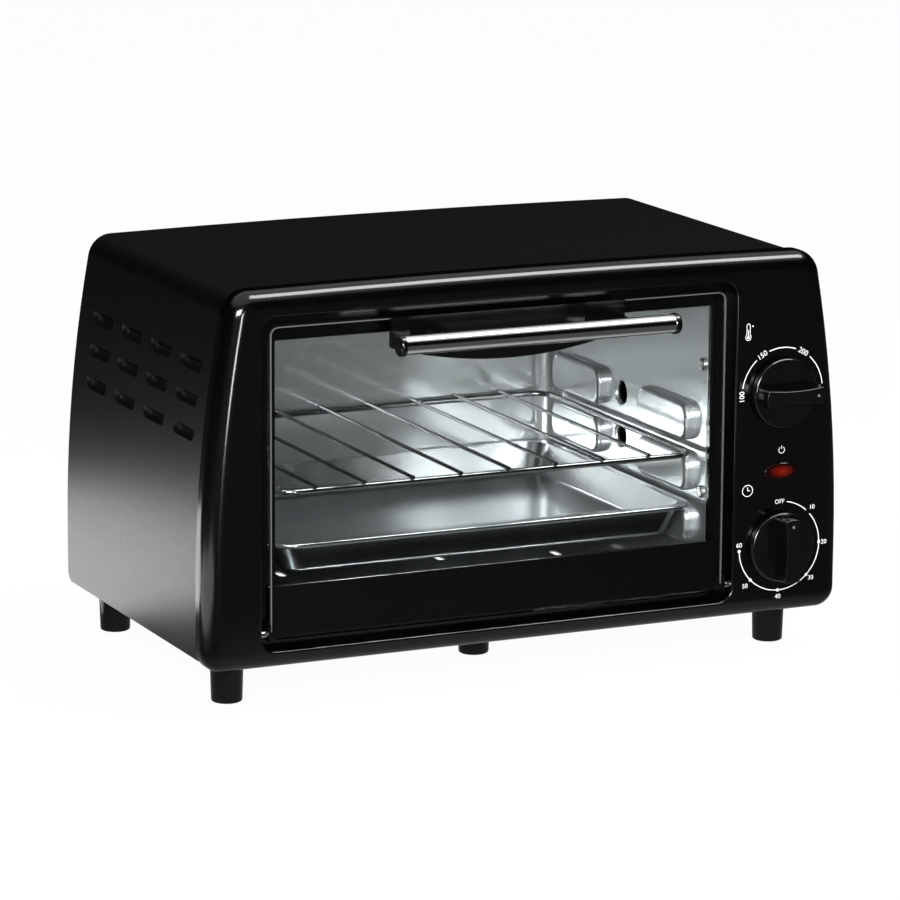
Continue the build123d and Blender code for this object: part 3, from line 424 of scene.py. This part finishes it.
def bar_outline(start, end, width):
    """A straight bar between two points."""
    dx = end[0] - start[0]
    dz = end[1] - start[1]
    length = hypot(dx, dz)
    side_x = -dz / length * width / 2
    side_z = dx / length * width / 2
    return [
        (start[0] + side_x, start[1] + side_z),
        (start[0] - side_x, start[1] - side_z),
        (end[0] - side_x, end[1] - side_z),
        (end[0] + side_x, end[1] + side_z),
    ]


def ink_text(name, words, x, z, height, turn):
    """A number or a plain word, centred at x and z and turned by turn degrees."""
    curve = bpy.data.curves.new(name, "FONT")
    curve.body = words
    curve.align_x = "CENTER"
    curve.align_y = "CENTER"
    curve.size = height / capital_share
    curve.extrude = ink_height / 2
    curve.resolution_u = letter_resolution
    angle = radians(turn)
    across = Vector((cos(angle), 0, sin(angle)))
    up = Vector((-sin(angle), 0, cos(angle)))
    obj = bpy.data.objects.new(name, curve)
    scene.collection.objects.link(obj)
    turned = Matrix((across, up, (0, -1, 0))).transposed().to_4x4()
    obj.matrix_world = Matrix.Translation((x, fascia_front - ink_height / 2, z)) @ turned
    obj.data.materials.append(ink)
    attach(obj, "cabinet")


def on_dial(z, angle, radius):
    """The point of a dial at an angle in degrees."""
    return control_x + radius * cos(radians(angle)), z + radius * sin(radians(angle))


# Thermostat dial: numbers set round the arc
thermostat_label_height = 2.9 * MM
ink_plate(
    "thermostat_arcs",
    [
        arc_outline(control_x, thermostat_z, dial_radius, start, end, line_width)
        for start, end in ((171, 131), (110, 71.5), (48, 7))
    ],
)
for label, angle in (("100", 182), ("150", 121), ("200", 60), ("250", -9)):
    label_x, label_z = on_dial(thermostat_z, angle, dial_radius)
    ink_text("thermostat_" + label, label, label_x, label_z, thermostat_label_height, angle - 90)

# Timer dial: minutes with dots on the ring
timer_label_height = 2.4 * MM
off_label_height = 2.3 * MM
off_label_shift = 0.3 * MM
timer_dot_angles = (0, -46, -91, -135, -178)
ink_plate(
    "timer_ring",
    [
        arc_outline(control_x, timer_z, dial_radius, start, end, line_width)
        for start, end in ((80, 49), (41.5, -178))
    ],
)
ink_plate(
    "timer_dots",
    [disc_outline(*on_dial(timer_z, angle, dial_radius), dot_radius) for angle in timer_dot_angles],
    dot_height,
)
ink_text("timer_OFF", "OFF", control_x - off_label_shift, timer_z + dial_radius, off_label_height, 0)
timer_labels = (  # words, angle in degrees, distance from the dial's middle in mm
    ("10", 45, 27.3),
    ("20", -0.5, 26.9),
    ("30", -44.5, 27.2),
    ("40", -90.5, 27.4),
    ("50", -135, 28.3),
    ("60", 174.5, 24.1),
)
for label, angle, reach in timer_labels:
    label_x, label_z = on_dial(timer_z, angle, reach * MM)
    ink_text("timer_" + label, label, label_x, label_z, timer_label_height, 0)

# Plain signs: a thermometer, a clock and the mark of a power lamp
sign_line = 0.36 * MM
thermometer_x = 123.4 * MM
thermometer_z = 175.8 * MM
tube_radius = 0.95 * MM
tube_top = thermometer_z + 3.2 * MM
tube_left = thermometer_x - tube_radius
tube_right = thermometer_x + tube_radius
bulb_z = thermometer_z - 3.0 * MM
bulb_radius = 1.55 * MM
neck_z = bulb_z + 1.2 * MM
filling_radius = 0.8 * MM
filling_top = thermometer_z + 1.0 * MM
degree_x = thermometer_x + 2.6 * MM
degree_z = tube_top - 0.4 * MM
degree_radius = 0.4 * MM
ink_plate(
    "thermometer_sign",
    [
        arc_outline(thermometer_x, tube_top, tube_radius, 0, 180, sign_line),
        bar_outline((tube_left, tube_top), (tube_left, neck_z), sign_line),
        bar_outline((tube_right, tube_top), (tube_right, neck_z), sign_line),
        arc_outline(thermometer_x, bulb_z, bulb_radius, 128, 412, sign_line),
    ],
)
ink_plate(
    "thermometer_filling",
    [
        disc_outline(thermometer_x, bulb_z, filling_radius),
        bar_outline((thermometer_x, bulb_z + filling_radius), (thermometer_x, filling_top), sign_line),
        disc_outline(degree_x, degree_z, degree_radius),
    ],
)
clock_x = 124.7 * MM
clock_z = 90.9 * MM
clock_radius = 3.0 * MM
long_hand = 1.9 * MM
short_hand = 1.5 * MM
ink_plate(
    "clock_sign",
    [
        arc_outline(clock_x, clock_z, clock_radius, 0, 180, sign_line),
        arc_outline(clock_x, clock_z, clock_radius, 180, 360, sign_line),
        bar_outline((clock_x, clock_z), (clock_x, clock_z + long_hand), sign_line),
        bar_outline((clock_x, clock_z), (clock_x + short_hand, clock_z), sign_line),
    ],
)
power_x = 144.6 * MM
power_z = 111.2 * MM
power_radius = 1.7 * MM
power_bar_low = power_z + 0.5 * MM
power_bar_high = power_z + 2.3 * MM
ink_plate(
    "power_sign",
    [
        arc_outline(power_x, power_z, power_radius, 125, 415, sign_line),
        bar_outline((power_x, power_bar_low), (power_x, power_bar_high), sign_line),
    ],
)


# Ground bevel round the door's pane and the bare upper edge of its rail
bevel_width = 0.5 * MM
bevel_depth = 1.2 * MM
bevel_lift = 0.03 * MM
pane_corner = 4.5 * MM
pane_corner_steps = 6
pane_low, pane_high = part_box("door_glass")


def glass_bevel():
    """Finely ground glass, which catches light along the pane's edge."""
    material, shader = principled("glass_bevel", (0.08, 0.088, 0.086), 0.3)
    rough(material, shader, noise(material, 900.0), low=0.3, high=0.42)
    return material


def pane_outline(inset):
    """The pane's outline without its lower side, moved inwards by inset, in X and Z."""
    radius = pane_corner - inset
    left = pane_low[0] + inset
    right = pane_high[0] - inset
    top = pane_high[2] - inset
    bottom = pane_low[2] + pane_corner
    points = [(right, bottom)]
    for x, start in ((right - radius, 0), (left + radius, 90)):
        for step in range(pane_corner_steps + 1):
            angle = radians(start + 90 * step / pane_corner_steps)
            points.append((x + radius * cos(angle), top - radius + radius * sin(angle)))
    points.append((left, bottom))
    return points


def strip(name, sections, closed, material, body):
    """A skin through cross-sections, either a closed ring or a bar with two ends, riding on a body."""
    mesh = bpy.data.meshes.new(name)
    form = bmesh.new()
    rings = [[form.verts.new(point) for point in section] for section in sections]
    pairs = list(zip(rings, rings[1:]))
    if closed:
        pairs.append((rings[-1], rings[0]))
    else:
        form.faces.new(rings[0])
        form.faces.new(rings[-1])
    for first, second in pairs:
        count = len(first)
        for i in range(count):
            j = (i + 1) % count
            form.faces.new((first[i], first[j], second[j], second[i]))
    bmesh.ops.recalc_face_normals(form, faces=form.faces)
    for face in form.faces:
        face.smooth = len(face.verts) == 4 and len(sections[0]) > 4
    form.to_mesh(mesh)
    form.free()
    obj = bpy.data.objects.new(name, mesh)
    scene.collection.objects.link(obj)
    obj.data.materials.append(material)
    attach(obj, body)


bevel_front = pane_low[1] - bevel_lift
bevel_back = pane_low[1] + bevel_depth
bevel_sections = [
    [(ox, bevel_front, oz), (ix, bevel_front, iz), (ix, bevel_back, iz), (ox, bevel_back, oz)]
    for (ox, oz), (ix, iz) in zip(pane_outline(-bevel_lift), pane_outline(bevel_width))
]
strip("pane_bevel", bevel_sections, False, glass_bevel(), "door")
rail_low, rail_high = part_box("door_rail")
edge_radius = 0.2 * MM
edge_end_gap = 2 * MM
edge_sides = 8
edge_y = rail_high[1] - 3 * edge_radius
edge_angles = [2 * pi * i / edge_sides for i in range(edge_sides)]
edge_sections = [
    [(x, edge_y + edge_radius * cos(a), rail_high[2] + edge_radius * sin(a)) for a in edge_angles]
    for x in (rail_low[0] + edge_end_gap, rail_high[0] - edge_end_gap)
]
strip("rail_edge", edge_sections, False, slot_materials["screw_steel"], "door")

# Collars of the holes in the chamber walls: the sheet is drawn outwards round each hole.
# The holes are measured from the wall's front and lower edges.
sheet_thickness = 0.6 * MM
hole_from_front = 97.95 * MM
hole_heights = {"lower": 72.5 * MM, "upper": 96.31 * MM}
collar_steps = 36
collar_inside_mm = ((0.05, 7.22), (0.5, 6.75), (1.3, 6.4), (2.6, 6.2))  # depth behind the wall, radius
collar_outside_mm = ((2.6, 6.65), (1.5, 6.85), (0.55, 7.3))


def collar_sections(wall_x, outwards, hole_y, hole_z):
    """The collar's profile turned round a hole; outwards is 1 to the right and -1 to the left."""
    profile = [(depth * MM, radius * MM) for depth, radius in collar_inside_mm + collar_outside_mm]
    angles = [2 * pi * step / collar_steps for step in range(collar_steps)]
    return [
        [
            (wall_x + outwards * depth, hole_y + radius * cos(a), hole_z + radius * sin(a))
            for depth, radius in profile
        ]
        for a in angles
    ]


for side, outwards in (("left", -1), ("right", 1)):
    wall_low, wall_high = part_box("cavity_" + side + "_wall")
    wall_x = (wall_high[0] if outwards > 0 else wall_low[0]) - outwards * sheet_thickness
    for level, height in hole_heights.items():
        sections = collar_sections(wall_x, outwards, wall_low[1] + hole_from_front, wall_low[2] + height)
        name = "wall_collar_" + side + "_" + level
        strip(name, sections, True, slot_materials["bright_sheet"], "cabinet")


# Camera at the photograph's place, from a fit to the photograph
camera_yaw = radians(25.01191)
camera_pitch = radians(12.21741)
camera_roll = radians(0.35249)
camera_place = Vector((-1.004432, fascia_front - 2.051152, 0.617712))
camera_lens_mm = 182.835
camera_sensor_mm = 36.0
camera_reach = 100.0
level_right = Vector((cos(camera_yaw), -sin(camera_yaw), 0))
level_ahead = Vector((sin(camera_yaw), cos(camera_yaw), 0))
ahead = cos(camera_pitch) * level_ahead - sin(camera_pitch) * Vector((0, 0, 1))
level_up = level_right.cross(ahead)
camera_right = cos(camera_roll) * level_right + sin(camera_roll) * level_up
camera_up = cos(camera_roll) * level_up - sin(camera_roll) * level_right
camera_data = bpy.data.cameras.new("camera")
camera_data.sensor_fit = "HORIZONTAL"
camera_data.sensor_width = camera_sensor_mm
camera_data.lens = camera_lens_mm
camera_data.clip_end = camera_reach
camera = bpy.data.objects.new("camera", camera_data)
scene.collection.objects.link(camera)
camera_turn = Matrix((camera_right, camera_up, -ahead)).transposed().to_4x4()
camera.matrix_world = Matrix.Translation(camera_place) @ camera_turn
scene.camera = camera


# Studio: pale floor, dim surroundings and soft lamps
floor_size = 40.0
white_share = 0.96  # the rest of the floor keeps the shadow
white_radius = 0.15
dark_radius = 0.3
near_reflection = 0.35
far_reflection = 0.004
dim_below = 0.55  # heights on the dome, where 1 is straight up
bright_above = 0.8
dim_strength = 0.002
bright_strength = 0.8


def studio_floor():
    """A white floor that keeps the object's shadow; its reflection fades away from the object."""
    mesh = bpy.data.meshes.new("floor")
    form = bmesh.new()
    bmesh.ops.create_grid(form, x_segments=1, y_segments=1, size=floor_size)
    form.to_mesh(mesh)
    form.free()
    floor = bpy.data.objects.new("floor", mesh)
    scene.collection.objects.link(floor)
    material, shader = principled("floor_white", (0.85, 0.85, 0.85), 0.9, specular=0.0)
    nodes = material.node_tree.nodes
    links = material.node_tree.links
    path = nodes.new("ShaderNodeLightPath")
    place = nodes.new("ShaderNodeTexCoord")
    reach = nodes.new("ShaderNodeVectorMath")
    reach.operation = "LENGTH"
    links.new(place.outputs["Object"], reach.inputs[0])
    fade = nodes.new("ShaderNodeMapRange")
    fade.interpolation_type = "SMOOTHSTEP"
    fade.inputs["From Min"].default_value = white_radius
    fade.inputs["From Max"].default_value = dark_radius
    fade.inputs["To Min"].default_value = near_reflection
    fade.inputs["To Max"].default_value = far_reflection
    links.new(reach.outputs["Value"], fade.inputs["Value"])
    direct = link_math(
        nodes, links, "MAXIMUM", path.outputs["Is Camera Ray"], path.outputs["Is Transmission Ray"]
    )
    mirrored = path.outputs["Is Glossy Ray"]
    seen = link_math(nodes, links, "MAXIMUM", direct, mirrored)
    faded = link_math(nodes, links, "MULTIPLY", mirrored, fade.outputs["Result"])
    strength = link_math(nodes, links, "MAXIMUM", direct, faded)
    glow = nodes.new("ShaderNodeEmission")
    links.new(strength, glow.inputs["Strength"])
    mix = nodes.new("ShaderNodeMixShader")
    links.new(link_math(nodes, links, "MULTIPLY", seen, white_share), mix.inputs["Fac"])
    links.new(shader.outputs["BSDF"], mix.inputs[1])
    links.new(glow.outputs["Emission"], mix.inputs[2])
    links.new(mix.outputs["Shader"], nodes["Material Output"].inputs["Surface"])
    floor.data.materials.append(material)


def studio_dome():
    """A world that is bright overhead and dim near the horizon; the camera sees it white."""
    world = bpy.data.worlds.new("studio")
    scene.world = world
    world.use_nodes = True
    nodes = world.node_tree.nodes
    links = world.node_tree.links
    place = nodes.new("ShaderNodeTexCoord")
    split = nodes.new("ShaderNodeSeparateXYZ")
    grade = nodes.new("ShaderNodeMapRange")
    grade.interpolation_type = "SMOOTHSTEP"
    grade.inputs["From Min"].default_value = dim_below
    grade.inputs["From Max"].default_value = bright_above
    grade.inputs["To Min"].default_value = dim_strength
    grade.inputs["To Max"].default_value = bright_strength
    links.new(place.outputs["Generated"], split.inputs["Vector"])
    links.new(split.outputs["Z"], grade.inputs["Value"])
    path = nodes.new("ShaderNodeLightPath")
    direct = link_math(
        nodes, links, "MAXIMUM", path.outputs["Is Camera Ray"], path.outputs["Is Transmission Ray"]
    )
    strength = link_math(nodes, links, "MAXIMUM", direct, grade.outputs["Result"])
    links.new(strength, nodes["Background"].inputs["Strength"])
    nodes["Background"].inputs["Color"].default_value = (1.0, 1.0, 1.0, 1.0)


def soft_lamp(name, place, target, width, height, power):
    """A rectangular lamp that faces a target and isn't seen by the camera."""
    data = bpy.data.lights.new(name, "AREA")
    data.shape = "RECTANGLE"
    data.size = width
    data.size_y = height
    data.energy = power
    lamp = bpy.data.objects.new(name, data)
    scene.collection.objects.link(lamp)
    lamp.location = place
    lamp.rotation_euler = (Vector(target) - Vector(place)).to_track_quat("-Z", "Y").to_euler()
    lamp.visible_camera = False


def plumb_point(place, height):
    """The point straight above or below a place, at a height."""
    return place[0], place[1], height


studio_floor()
studio_dome()
oven_middle = (0.0, 0.0, 0.11)
fascia_left = (-0.17, -0.09, 0.14)
edge_box = (0.6, -0.37, 1.42)
key_lamp = (-1.12, -1.6, 0.75)
front_strip = (-0.26, -1.05, 0.14)
side_card = (-0.31, 0.29, 0.003)
cheek_card = (-0.47, -0.13, 0.003)

# A box overhead for the line of light on the fascia's upper edge, and the key lamp at the front left
soft_lamp("edge_box", edge_box, plumb_point(edge_box, 0.0), width=1.2, height=0.5, power=24.0)
soft_lamp("key_lamp", key_lamp, oven_middle, width=0.8, height=0.5, power=50.0)

# A strip at the front, and two cards on the floor for the left side and the fascia's left cheek
soft_lamp("front_strip", front_strip, fascia_left, width=0.12, height=0.3, power=3.0)
soft_lamp("side_card", side_card, plumb_point(side_card, 1.0), width=0.26, height=0.34, power=0.8)
soft_lamp("cheek_card", cheek_card, plumb_point(cheek_card, 1.0), width=0.26, height=0.46, power=0.75)
